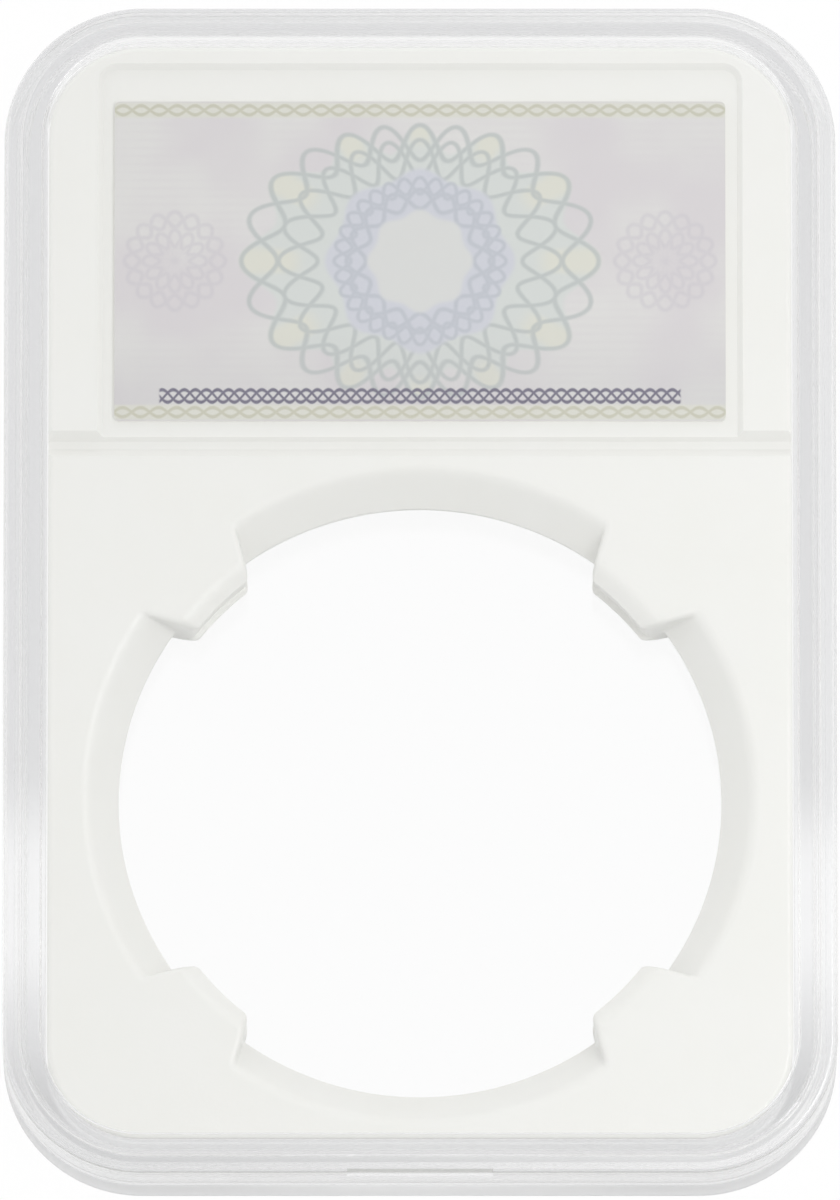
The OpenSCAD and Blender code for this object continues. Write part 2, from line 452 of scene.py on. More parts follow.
@dataclass(frozen=True)
class CaseZones:
    """Where a point of a clear half lies, as sockets of its material.

    The level is measured from the middle of the case's thickness and the inset from its outline. Flank
    and thick are masks, of the upright outer faces and of the walls.
    """

    x: Socket
    y: Socket
    z: Socket
    level: Socket
    inset: Socket
    flank: Socket
    thick: Socket


@dataclass(frozen=True)
class ClearAcrylic:
    """Polished clear moulding plastic, clear in the window and greyer in the thick walls, whose grey is
    partly the plastic's own tint and partly painted shade.
    """

    name: str
    window: Colour = (0.995, 0.996, 0.996)
    wall: Colour = (0.738, 0.739, 0.747)
    # Grey of the thick walls: partly the plastic's own tint, partly painted shade, deeper than the tint
    # alone
    end_shade: Colour = (0.62, 0.621, 0.628)
    # Painted shade: the walls' grey deepens to this towards the bottom end
    side_highlight: Colour = (0.93, 0.932, 0.936)
    # Painted highlight: the lighter grey of the lower parts of the long sides
    dust: Colour = (0.96, 0.965, 0.965)
    index: float = 1.49
    grain_scale: float = 900.0
    mottle_scale: float = 60.0
    marks_scale: float = 140.0
    marks_amount: float = 0.6
    wall_depth: float = 3.08 * MM
    end_depth: float = 2.33 * MM
    wall_fade: float = 0.15 * MM
    upright: Span = (0.3, 0.6)
    skin_level: float = 3.8 * MM
    skin_depth: float = 0.3 * MM
    skin_fade: float = 0.1 * MM
    shoulder_level: float = 4.15 * MM
    # Painted light: the shoulder's grey is lightened, by a share that grows from left to right
    shoulder_light_span: Span = (-22.0 * MM, 22.0 * MM)
    shoulder_light_share: Span = (0.1, 0.55)
    # Span along Y over which the painted shade of the bottom end fades out
    end_shade_span: Span = (-38.0 * MM, -32.0 * MM)
    # Place along Y, reach and mottled fray of the painted highlight
    highlight_place: float = -23.0 * MM
    highlight_reach: Span = (4.5 * MM, 12.6 * MM)
    highlight_fray: float = 4.0 * MM
    joint_inset: Span = (0.5 * MM, 2.2 * MM)
    joint_level: float = 2.6 * MM
    polish: float = 0.02
    rubbed: float = 0.12
    wall_polish: float = 0.14
    ground: float = 0.22
    foot_rub: float = 0.3
    foot_span: Span = (4.2 * MM, 4.6 * MM)
    swell: float = 0.05
    swell_height: float = 0.05 * MM
    wall_bounces: float = 0.5
    plate_bounces: float = 1.5

    @property
    def wall_half_height(self) -> float:
        """Returns half the height of the outline that the walls' depth is measured from."""
        return CASE_HALF.y + self.wall_depth - self.end_depth

    def _zones(self, graph: Graph, given: bpy.types.Node) -> CaseZones:
        """Measures where a point lies in the wall.

        Args:
            graph: The material's graph.
            given: Its Texture Coordinate node.

        Returns:
            The measures and masks.
        """
        place = given.outputs["Object"]
        x, y, z = graph.split(place)
        sizes = {"Vector": place, "Half_Width": CASE_HALF.x, "Corner": CASE_CORNER}
        inset, depth = (
            graph.place(Effects.wall_zone(), Half_Height=height, **sizes)["Inset"]
            for height in (CASE_HALF.y, self.wall_half_height)
        )
        facing = graph.split(given.outputs["Normal"])[2]
        upright = graph.ramp(graph.math("ABSOLUTE", facing), *self.upright, 1.0, 0.0)
        flank = graph.math("MULTIPLY", upright, graph.below(inset, self.skin_depth, self.skin_fade))
        thick = graph.below(depth, self.wall_depth, self.wall_fade)
        return CaseZones(x, y, z, graph.off(z, CASE_HALF.z), inset, flank, thick)

    def _tint(self, graph: Graph, zones: CaseZones, mottle: Socket) -> Socket:
        """Greys the outer skin of the thick wall, with painted shade deepening it towards the bottom end, a
        painted highlight lightening it on the lower parts of the long sides, and painted light lightening
        the shoulder, more on the right.

        Args:
            graph: The material's graph.
            zones: Where the point lies.
            mottle: Slow variation that frays the edges of the painted highlight.

        Returns:
            The colour that light takes on.
        """
        ends = graph.above(zones.level, self.skin_level, self.skin_fade)
        off_shoulder = graph.off(zones.level, self.shoulder_level)
        shoulder = graph.ramp(off_shoulder, self.skin_fade / 2, self.skin_fade, 1.0, 0.0)
        # Painted light: the shoulder's grey is lightened, more towards the right
        painted_light = graph.ramp(zones.x, *self.shoulder_light_span, *self.shoulder_light_share)
        kept = graph.math("SUBTRACT", 1.0, graph.math("MULTIPLY", shoulder, painted_light))
        skin = graph.math("MAXIMUM", graph.math("MULTIPLY", ends, kept), zones.flank)
        # Painted highlight: the grey lightens on the lower parts of the long sides
        away = graph.math("MULTIPLY_ADD", mottle, self.highlight_fray, graph.off(zones.y, self.highlight_place))
        highlight_share = graph.ramp(away, *self.highlight_reach, 1.0, 0.0)
        # Painted shade: the grey darkens towards the bottom end
        shaded_end = graph.blend(graph.ramp(zones.y, *self.end_shade_span), self.end_shade, self.wall)
        greyed = graph.blend(highlight_share, shaded_end, self.side_highlight)
        return graph.blend(graph.math("MULTIPLY", skin, zones.thick), self.window, greyed)

    def _roughness(self, graph: Graph, zones: CaseZones, streaks: Socket) -> Socket:
        """Roughens the polish along streaks, in the walls, on the closure's faces and at the foot.

        Args:
            graph: The material's graph.
            zones: Where the point lies.
            streaks: Mask of the rubbing marks.

        Returns:
            The roughness.
        """
        polished = graph.ramp(streaks, 0.0, 1.0, self.polish, self.rubbed)
        wall = graph.math("MULTIPLY", zones.thick, self.wall_polish)
        low, high = self.joint_inset
        past_low = graph.above(zones.inset, low, self.skin_fade)
        closure = graph.math("MULTIPLY", past_low, graph.below(zones.inset, high, self.skin_fade))
        near = graph.ramp(zones.level, self.joint_level - self.skin_fade, self.joint_level, self.ground, 0.0)
        joint = graph.math("MULTIPLY", closure, near)
        low_rub = graph.ramp(zones.z, *self.foot_span, self.foot_rub, 0.0)
        foot = graph.math("MULTIPLY", zones.flank, low_rub)
        return graph.fold("MAXIMUM", [polished, wall, joint, foot])

    def material(self) -> bpy.types.Material:
        """Builds the finish, which lets shadows, soft light and trapped reflections straight through.

        Returns:
            The material.
        """
        material, graph, shader = new_material(self.name)
        given = graph.add("TexCoord")
        place = given.outputs["Object"]
        scales = {"Grain_Scale": self.grain_scale, "Mottle_Scale": self.mottle_scale}
        grain = graph.place(Effects.grain(), Vector=place, **scales)
        marks = graph.place(Effects.marks(), Vector=place, Scale=self.marks_scale, Amount=self.marks_amount)
        zones = self._zones(graph, given)
        tint = self._tint(graph, zones, grain["Mottle"])
        graph.feed(shader.inputs["Base Color"], graph.blend(marks["Specks"], tint, self.dust))
        graph.feed(shader.inputs["Roughness"], self._roughness(graph, zones, marks["Streaks"]))
        add_bump(graph, shader, grain["Mottle"], self.swell, self.swell_height)
        shader.inputs["Transmission Weight"].default_value = 1.0
        shader.inputs["IOR"].default_value = self.index
        path = graph.add("LightPath").outputs
        wall_end = self.wall_depth + self.wall_fade
        # Measured by the material's own nodes, because it steers the mix of its shaders
        depth = graph.inset(place, CASE_HALF.x, self.wall_half_height, CASE_CORNER)
        limit = graph.ramp(depth, self.wall_depth, wall_end, self.wall_bounces, self.plate_bounces)
        trapped = graph.math("GREATER_THAN", path["Glossy Depth"], limit)
        passing = graph.fold("MAXIMUM", [path["Is Shadow Ray"], path["Is Diffuse Ray"], trapped])
        graph.show(graph.mix(passing, shader.outputs[0], graph.add("BsdfTransparent").outputs[0]))
        return material


@dataclass(frozen=True)
class SatinPlastic:
    """White moulded plastic with a fine spark-eroded grain."""

    name: str
    colour: Colour = screen_colour(228, 228, 225)
    warm: Colour = screen_colour(226, 226, 221)
    roughness: Span = (0.37, 0.48)
    index: float = 1.5
    grain_scale: float = 3600.0
    mottle_scale: float = 180.0
    grain_bump: float = 0.25
    grain_height: float = 0.03 * MM

    def material(self) -> bpy.types.Material:
        """Builds the finish.

        Returns:
            The material.
        """
        material, graph, shader = new_material(self.name)
        place = graph.add("TexCoord").outputs["Object"]
        scales = {"Grain_Scale": self.grain_scale, "Mottle_Scale": self.mottle_scale}
        grain = graph.place(Effects.grain(), Vector=place, **scales)
        graph.feed(shader.inputs["Base Color"], graph.blend(grain["Mottle"], self.colour, self.warm))
        graph.feed(shader.inputs["Roughness"], graph.ramp(grain["Grain"], *NOISE_SPAN, *self.roughness))
        add_bump(graph, shader, grain["Grain"], self.grain_bump, self.grain_height)
        shader.inputs["IOR"].default_value = self.index
        return material


@dataclass(frozen=True)
class LatheRing:
    """One pair of interlaced lathe lines of the card's print, in millimetres."""

    mean: float
    swing: float
    lobes: int
    width: float
    oval: float = 0.0


@dataclass(frozen=True)
class WaveBand:
    """Waves along the card, evenly out of step, in millimetres; the width is half a line's."""

    swing: float
    length: float
    strands: int
    width: float


@dataclass(frozen=True)
class PrintedCard:
    """Matt card with a pale engine-turned print on its front; print sizes are in millimetres."""

    name: str
    middle: Vector
    paper: Colour = screen_colour(240, 239, 235)
    ground: Colour = screen_colour(207, 206, 204)
    shade: Colour = screen_colour(201, 197, 199)
    disc: Colour = screen_colour(202, 203, 201)
    blue: Colour = screen_colour(192, 194, 202)
    green: Colour = screen_colour(198, 202, 199)
    olive: Colour = screen_colour(205, 205, 194)
    dusk: Colour = screen_colour(170, 170, 172)
    fine_ink: Colour = screen_colour(171, 176, 184)
    leaf_ink: Colour = screen_colour(171, 177, 176)
    mauve_ink: Colour = screen_colour(188, 184, 190)
    band_ink: Colour = screen_colour(186, 185, 168)
    dark_ink: Colour = screen_colour(98, 94, 114)
    disc_edge: LatheRing = LatheRing(3.6, 0.2, 8, 0.3)
    blue_edge: LatheRing = LatheRing(6.5, 0.35, 8, 0.3)
    leaf_edge: LatheRing = LatheRing(10.5, 1.0, 12, 0.3, 1.5)
    fine_rings: tuple[LatheRing, ...] = (LatheRing(4.6, 0.7, 8, 0.26), LatheRing(5.6, 0.6, 16, 0.22))
    leaf_rings: tuple[LatheRing, ...] = (
        LatheRing(8.2, 1.4, 12, 0.26, 0.6),
        LatheRing(10.2, 1.3, 12, 0.28, 1.4),
    )
    side_rings: tuple[LatheRing, ...] = (LatheRing(1.7, 0.6, 6, 0.22), LatheRing(3.1, 0.55, 8, 0.24))
    side_place: float = 17.7
    screen: WaveBand = WaveBand(0.05, 5.0, 1, 0.16)
    screen_pitch: float = 0.3
    plait: WaveBand = WaveBand(0.34, 2.6, 2, 0.2)
    band_place: float = 11.2
    band_half: float = 0.55
    band_fade: float = 0.1
    row: WaveBand = WaveBand(0.46, 2.4, 3, 0.2)
    row_place: float = -10.0
    row_half_length: float = 18.9
    row_fade: float = 0.2
    wave_core: float = 0.3
    cloud_span: Span = (0.35, 0.65)
    heart_lobe: Span = (0.2, 0.9)
    heart_reach: Span = (8.0, 9.6)
    dusk_span: Span = (-3.0, -11.0)
    screen_share: float = 0.25
    side_share: float = 0.5
    leaf_share: float = 0.8
    fine_share: float = 0.7
    dusk_share: float = 0.22
    band_share: float = 0.8
    front_span: Span = (0.4, 0.6)
    roughness: Span = (0.6, 0.75)
    grain_scale: float = 2600.0
    mottle_scale: float = 120.0
    grain_bump: float = 0.2
    grain_height: float = 0.02 * MM

    def _polar(self, graph: Graph, x: Feed, y: Feed) -> Polar:
        """Returns the radius and the angle of a point."""
        squares = [graph.math("POWER", way, 2.0) for way in (x, y)]
        return graph.math("SQRT", graph.math("ADD", *squares)), graph.math("ARCTAN2", y, x)

    def _ring(self, graph: Graph, polar: Polar, ring: LatheRing, phase: float = 0.0) -> Outputs:
        """Places one lathe line.

        Args:
            graph: The material's graph.
            polar: Radius and angle about the line's centre.
            ring: The line's form.
            phase: Turn of its waves in radians.

        Returns:
            The group's outputs, the masks of the line and of its inside.
        """
        return graph.place(
            Effects.lathe_line(),
            Radius=polar[0],
            Angle=polar[1],
            Mean=ring.mean,
            Oval=ring.oval,
            Swing=ring.swing,
            Lobes=float(ring.lobes),
            Phase=phase,
            Width=ring.width,
        )

    def _ink(self, graph: Graph, polar: Polar, rings: tuple[LatheRing, ...]) -> Socket:
        """Joins interlaced pairs of lathe lines into one mask."""
        pairs = [(ring, phase) for ring in rings for phase in (0.0, math.pi)]
        return graph.fold("MAXIMUM", [self._ring(graph, polar, *pair)["Line"] for pair in pairs])

    def _waves(self, graph: Graph, x: Feed, y: Feed, band: WaveBand) -> Socket:
        """Plaits waves along X into one mask.

        Args:
            graph: The material's graph.
            x: Way along the band.
            y: Way across the band, from its middle.
            band: The waves' form.

        Returns:
            The mask's socket.
        """
        lines = []
        for strand in range(band.strands):
            phase = math.tau * strand / band.strands
            turn = graph.math("MULTIPLY_ADD", x, math.tau / band.length, phase)
            wave = graph.math("MULTIPLY", graph.math("SINE", turn), band.swing)
            away = graph.math("ABSOLUTE", graph.math("SUBTRACT", y, wave))
            lines.append(graph.ramp(away, band.width * self.wave_core, band.width, 1.0, 0.0))
        return graph.fold("MAXIMUM", lines)

    def _rosette(self, graph: Graph, x: Socket, y: Socket) -> list[Layer]:
        """Lists the layers of the large rosette, from its leaves in to its disc.

        Args:
            graph: The material's graph.
            x: Way across the card, from its middle.
            y: Way up the card, from its middle.

        Returns:
            The layers, lowest first.
        """
        centre = self._polar(graph, x, y)
        inside = self._ring(graph, centre, self.leaf_edge)["Inside"]
        lobe = graph.math("COSINE", graph.math("MULTIPLY", centre[1], float(self.leaf_edge.lobes)))
        outer = graph.ramp(centre[0], *self.heart_reach)
        heart = graph.math("MULTIPLY", graph.ramp(lobe, *self.heart_lobe), outer)
        return [
            (inside, 1.0, self.green),
            (graph.math("MULTIPLY", heart, inside), 1.0, self.olive),
            (self._ink(graph, centre, self.leaf_rings), self.leaf_share, self.leaf_ink),
            (self._ring(graph, centre, self.blue_edge)["Inside"], 1.0, self.blue),
            (self._ink(graph, centre, self.fine_rings), self.fine_share, self.fine_ink),
            (self._ring(graph, centre, self.disc_edge)["Inside"], 1.0, self.disc),
        ]

    def _borders(self, graph: Graph, x: Socket, y: Socket) -> list[Layer]:
        """Lists the layers of the two plaited border bands and of the dark plaited row.

        Args:
            graph: The material's graph.
            x: Way across the card, from its middle.
            y: Way up the card, from its middle.

        Returns:
            The layers, lowest first.
        """
        across = graph.math("SUBTRACT", graph.math("ABSOLUTE", y), self.band_place)
        band = graph.below(graph.math("ABSOLUTE", across), self.band_half, self.band_fade)
        plait = self._waves(graph, x, across, self.plait)
        row = self._waves(graph, x, graph.math("SUBTRACT", y, self.row_place), self.row)
        row_end = self.row_half_length
        within = graph.ramp(graph.math("ABSOLUTE", x), row_end - self.row_fade, row_end, 1.0, 0.0)
        return [
            (band, self.band_share, self.olive),
            (graph.math("MULTIPLY", plait, band), 1.0, self.band_ink),
            (graph.math("MULTIPLY", row, within), 1.0, self.dark_ink),
        ]

    def _print(self, graph: Graph, place: Socket, mottle: Socket) -> Socket:
        """Lays the print's colours over each other.

        Args:
            graph: The material's graph.
            place: The point in the frame.
            mottle: Slow variation of the ink.

        Returns:
            The print's colour.
        """
        shift = graph.add("VectorMath", operation="SUBTRACT")
        graph.feed(shift.inputs[0], place)
        shift.inputs[1].default_value = self.middle
        scaled = graph.add("VectorMath", operation="SCALE")
        graph.feed(scaled.inputs[0], shift.outputs[0])
        scaled.inputs["Scale"].default_value = 1 / MM
        x, y, _ = graph.split(scaled.outputs[0])
        side = self._polar(graph, graph.math("SUBTRACT", graph.math("ABSOLUTE", x), self.side_place), y)
        screen = self._waves(graph, x, graph.math("PINGPONG", y, self.screen_pitch), self.screen)
        layers = [
            (screen, self.screen_share, self.shade),
            (self._ink(graph, side, self.side_rings), self.side_share, self.mauve_ink),
            *self._rosette(graph, x, y),
            # Darkens the print towards the bottom of the card
            (graph.ramp(y, *self.dusk_span), self.dusk_share, self.dusk),
            *self._borders(graph, x, y),
        ]
        colour = graph.blend(graph.ramp(mottle, *self.cloud_span), self.ground, self.shade)
        for mask, share, ink in layers:
            colour = graph.blend(graph.math("MULTIPLY", mask, share), colour, ink)
        return colour

    def material(self) -> bpy.types.Material:
        """Builds the finish, printed on the front and bare on the back and edges.

        Returns:
            The material.
        """
        material, graph, shader = new_material(self.name)
        given = graph.add("TexCoord")
        place = given.outputs["Object"]
        scales = {"Grain_Scale": self.grain_scale, "Mottle_Scale": self.mottle_scale}
        grain = graph.place(Effects.grain(), Vector=place, **scales)
        front = graph.ramp(graph.split(given.outputs["Normal"])[2], *self.front_span)
        printed = self._print(graph, place, grain["Mottle"])
        graph.feed(shader.inputs["Base Color"], graph.blend(front, self.paper, printed))
        graph.feed(shader.inputs["Roughness"], graph.ramp(grain["Grain"], *NOISE_SPAN, *self.roughness))
        add_bump(graph, shader, grain["Grain"], self.grain_bump, self.grain_height)
        return material


def add_object(name: str, data: bpy.types.ID) -> bpy.types.Object:
    """Makes an object and puts it in the scene.

    Args:
        name: The object's name.
        data: Its mesh, light or camera.

    Returns:
        The object.
    """
    made = bpy.data.objects.new(name, data)
    bpy.context.scene.collection.objects.link(made)
    return made


def dress(piece: bpy.types.Object, material: bpy.types.Material) -> None:
    """Gives an object one material."""
    piece.data.materials.clear()
    piece.data.materials.append(material)


@dataclass(frozen=True)
class Spot:
    """A corner of a wall's profile, its way in from the case's outline and its height.

    A fillet rounds the corner. An inner spot keeps its place from the outline of the case's inside,
    which stands further in along the long sides than along the ends.
    """

    inset: float
    height: float
    fillet: float = 0.0
    inner: bool = False


@dataclass(frozen=True)
class ProfilePoint:
    """A point of a rounded profile, with the normals (outward, up) of the stretches at it."""

    spot: Spot
    before: Span
    after: Span


@dataclass(frozen=True)
class Column:
    """A column of a loft round the case: the corner it turns about, its outward way and its own X."""

    side: tuple[int, int]
    way: Vector
    x: Optional[float] = None


def rounded_profile(spots: list[Spot], steps: int) -> list[ProfilePoint]:
    """Rounds the corners of a profile that has the open air on its left.

    Args:
        spots: The corners, first to last.
        steps: Number of stretches in each fillet.

    Returns:
        The points, with exact normals of the flats and of the fillets.
    """
    normals = []
    for first, last in zip(spots, spots[1:]):
        along = Vector((first.inset - last.inset, last.height - first.height)).normalized()
        normals.append(Vector((-along.y, along.x)))
    points = []
    for spot, before, after in zip(spots, [normals[0], *normals], [*normals, normals[-1]]):
        if spot.fillet == 0.0:
            points.append(ProfilePoint(spot, tuple(before), tuple(after)))
            continue
        turn = math.atan2(before.cross(after), before.dot(after))
        bulge = -math.copysign(spot.fillet, turn)
        centre = Vector((-spot.inset, spot.height)) - (before + after) * (bulge / (1 + before.dot(after)))
        for step in range(steps + 1):
            normal = Matrix.Rotation(turn * step / steps, 2) @ before
            place = centre + normal * bulge
            rounded = Spot(-place.x, place.y, inner=spot.inner)
            points.append(ProfilePoint(rounded, tuple(normal), tuple(normal)))
    return points


@dataclass(frozen=True)
class CaseOutline:
    """The rounded rectangle round the case, and the narrower one round its inside."""

    end_shift: float = 0.5 * MM
    gate_half: float = 5.25 * MM
    corner_steps: int = 48

    def columns(self) -> list[Column]:
        """Lists the columns against the clock from the lower left corner, with two at the gate.

        Returns:
            The columns.
        """
        columns = []
        for quarter, side in enumerate(((-1, -1), (1, -1), (1, 1), (-1, 1))):
            for step in range(self.corner_steps + 1):
                angle = math.pi + (quarter + step / self.corner_steps) * math.pi / 2
                columns.append(Column(side, Vector((math.cos(angle), math.sin(angle)))))
            if quarter == 0:
                down = Vector((0.0, -1.0))
                columns += [Column(side, down, -self.gate_half), Column(side, down, self.gate_half)]
        return columns

    def place(self, spot: Spot, column: Column) -> Vector:
        """Places one point of a loft.

        Args:
            spot: A spot of the profile.
            column: A column of the outline.

        Returns:
            The point in the frame.
        """
        radius = CASE_CORNER - spot.inset
        shift = self.end_shift if spot.inner else 0.0
        x = column.side[0] * (CASE_HALF.x - CASE_CORNER) + column.way.x * radius
        y = column.side[1] * (CASE_HALF.y - CASE_CORNER + shift) + column.way.y * radius
        return Vector((x if column.x is None else column.x, y, spot.height))


@dataclass
class Skin:
    """Points and faces of a mesh, with the exact normal at each corner of a face."""

    points: list[Vector] = field(default_factory=list)
    faces: list[tuple[int, ...]] = field(default_factory=list)
    normals: list[Vector] = field(default_factory=list)

    def add_face(self, corners: tuple[int, ...], normals: list[Vector]) -> None:
        """Adds one face with a normal for each corner."""
        self.faces.append(corners)
        self.normals.extend(normals)

    def add_flat(self, corners: tuple[int, ...], normal: tuple[float, float, float]) -> None:
        """Adds one flat face."""
        self.add_face(corners, [Vector(normal)] * len(corners))

    def piece(self, name: str) -> bpy.types.Object:
        """Makes the object that shows the skin.

        Args:
            name: The piece's name.

        Returns:
            The piece.
        """
        mesh = bpy.data.meshes.new(name)
        mesh.from_pydata(self.points, [], self.faces)
        mesh.polygons.foreach_set("use_smooth", [True] * len(mesh.polygons))
        mesh.normals_split_custom_set(self.normals)
        return add_object(name, mesh)


@dataclass(frozen=True)
class GateRecess:
    """The shallow recess in an end wall where the moulding's gate was trimmed."""

    depth: float = 0.4 * MM
    height: float = 0.9 * MM
    slack: float = 0.05 * MM
    flatness: float = 0.999

    def takes(self, ends: tuple[ProfilePoint, ProfilePoint], first: Column, last: Column) -> bool:
        """Tells whether a face of the loft is the one that the recess opens.

        Args:
            ends: The face's upper and lower point of the profile.
            first: The column at the face's start.
            last: The column at its end.

        Returns:
            True for the flat face between the gate's two columns that has the recess's height.
        """
        upper, lower = (point.spot for point in ends)
        outside = max(upper.inset, lower.inset) < self.slack
        flat = Vector(ends[0].after).dot(Vector(ends[1].before)) > self.flatness
        tall = abs(upper.height - lower.height - self.height) < self.slack
        return first.x is not None and last.x is not None and outside and flat and tall

    def cut(self, skin: Skin, corners: tuple[int, int, int, int]) -> None:
        """Adds the recess's back, ceiling, floor and two ends in place of a face.

        Args:
            skin: The skin that the recess joins.
            corners: The face's upper left, lower left, lower right and upper right points.
        """
        start = len(skin.points)
        skin.points += [skin.points[corner] + Vector((0.0, self.depth, 0.0)) for corner in corners]
        skin.add_flat(tuple(range(start, start + 4)), (0.0, -1.0, 0.0))
        ways = ((1.0, 0.0, 0.0), (0.0, 0.0, 1.0), (-1.0, 0.0, 0.0), (0.0, 0.0, -1.0))
        for i, normal in enumerate(ways):
            j = (i + 1) % len(ways)
            skin.add_flat((corners[i], corners[j], start + j, start + i), normal)


@dataclass
class CaseHalf:
    """One clear half of the case: a wall profile carried round the outline and closed by a window."""

    finish: ClearAcrylic
    node: str
    body: Body
    gate: Optional[GateRecess] = None
    outline: CaseOutline = CaseOutline()
    fillet_steps: int = 6
    plate: float = 1.3 * MM
    wall_side: float = 3.05 * MM
    edge_round: float = 0.5 * MM
    seam_round: float = 0.15 * MM

    def spots(self) -> list[Spot]:
        """Lists the profile's corners from one window face round the wall to the other."""
        raise NotImplementedError

    def _add_band(
        self, skin: Skin, columns: list[Column], start: int, ends: tuple[ProfilePoint, ProfilePoint]
    ) -> None:
        """Adds the faces between one point of the profile and the next, all the way round.

        Args:
            skin: The skin that the faces join.
            columns: The loft's columns.
            start: The first point of the upper row.
            ends: The two points of the profile.
        """
        count = len(columns)
        normals = (ends[0].after, ends[1].before)
        for i in range(count):
            j = (i + 1) % count
            corners = (start + i, start + count + i, start + count + j, start + j)
            if self.gate and self.gate.takes(ends, columns[i], columns[j]):
                self.gate.cut(skin, corners)
                continue
            turns = ((0, i), (1, i), (1, j), (0, j))
            skin.add_face(corners, [
                Vector((*(columns[k].way * normals[end][0]), normals[end][1])) for end, k in turns
            ])

    def build(self) -> bpy.types.Object:
        """Lofts the half.

        Returns:
            The piece, which stands for the solid.
        """
        profile = rounded_profile(self.spots(), self.fillet_steps)
        columns = self.outline.columns()
        count = len(columns)
        skin = Skin([self.outline.place(point.spot, column) for point in profile for column in columns])
        skin.add_flat(tuple(range(count)), (0.0, 0.0, 1.0))
        for level, ends in enumerate(zip(profile, profile[1:])):
            self._add_band(skin, columns, level * count, ends)
        last = (len(profile) - 1) * count
        skin.add_flat(tuple(range(last + count - 1, last - 1, -1)), (0.0, 0.0, -1.0))
        piece = skin.piece(self.node.replace("shell", "half"))
        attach(piece, self.body.value)
        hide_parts(self.node)
        return piece

    def dress(self, piece: bpy.types.Object) -> None:
        """Gives the half its clear finish."""
        dress(piece, self.finish.material())


@dataclass
class FrontHalf(CaseHalf):
    """The half with the raised rim round its window and the groove that takes the tongue."""

    gate: GateRecess = GateRecess()
    shoulder: float = 1.2 * MM
    rim_width: float = 1.6 * MM
    rim_height: float = 0.6 * MM
    rim_round: float = 0.25 * MM
    rim_root: float = 0.1 * MM
    groove_inset: float = 0.8 * MM
    groove_width: float = 1.0 * MM
    groove_depth: float = 1.55 * MM

    def spots(self) -> list[Spot]:
        """Lists the profile's corners from the window's face over the rim and round to its inside.

        Returns:
            The corners.
        """
        low, high = (corner.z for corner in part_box(self.node))
        shoulder = high - self.rim_height
        rim_end = self.shoulder + self.rim_width
        groove_end = self.groove_inset + self.groove_width
        return [
            Spot(rim_end + self.rim_width, shoulder),
            Spot(rim_end, shoulder, self.rim_root),
            Spot(rim_end, high, self.rim_round),
            Spot(self.shoulder, high, self.rim_round),
            Spot(self.shoulder, shoulder, self.rim_root),
            Spot(0.0, shoulder, self.edge_round),
            Spot(0.0, shoulder - self.edge_round - self.gate.height),
            Spot(0.0, low, self.seam_round),
            Spot(self.groove_inset, low),
            Spot(self.groove_inset, low + self.groove_depth),
            Spot(groove_end, low + self.groove_depth),
            Spot(groove_end, low),
            Spot(self.wall_side, low, inner=True),
            Spot(self.wall_side, shoulder - self.plate, inner=True),
        ]


@dataclass
class RearHalf(CaseHalf):
    """The half with the foot ring round its back and the tongue that the front half presses on to."""

    foot_width: float = 1.1 * MM
    foot_height: float = 0.7 * MM
    foot_root: float = 0.1 * MM
    tongue_inset: float = 0.9 * MM
    tongue_width: float = 0.8 * MM
    tongue_height: float = 1.4 * MM
    tongue_lead: float = 0.2 * MM

    def spots(self) -> list[Spot]:
        """Lists the profile's corners from the window's inside over the tongue and round to its foot.

        Returns:
            The corners.
        """
        low, high = (corner.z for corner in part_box(self.node))
        parting = high - self.tongue_height
        back = low + self.foot_height
        tongue_end = self.tongue_inset + self.tongue_width
        return [
            Spot(self.wall_side, back + self.plate, inner=True),
            Spot(self.wall_side, parting, inner=True),
            Spot(tongue_end, parting),
            Spot(tongue_end, high - self.tongue_lead),
            Spot(tongue_end - self.tongue_lead, high),
            Spot(self.tongue_inset + self.tongue_lead, high),
            Spot(self.tongue_inset, high - self.tongue_lead),
            Spot(self.tongue_inset, parting),
            Spot(0.0, parting, self.seam_round),
            Spot(0.0, low, self.edge_round),
            Spot(self.foot_width, low, self.foot_root),
            Spot(self.foot_width, back, self.foot_root),
            Spot(self.foot_width + self.foot_height, back),
        ]


def soft_least(first: float, second: float, blend: float) -> float:
    """Returns the lesser of two lengths, eased where they differ by less than the blend."""
    near = max(blend - abs(first - second), 0.0) / blend
    return min(first, second) - near * near * blend / 4


def spread(marks: tuple[float, ...], counts: tuple[int, ...]) -> list[float]:
    """Returns values from the first mark to short of the last, each span in its count of even steps."""
    spans = zip(marks, marks[1:], counts)
    return [first + (last - first) * step / count for first, last, count in spans for step in range(count)]


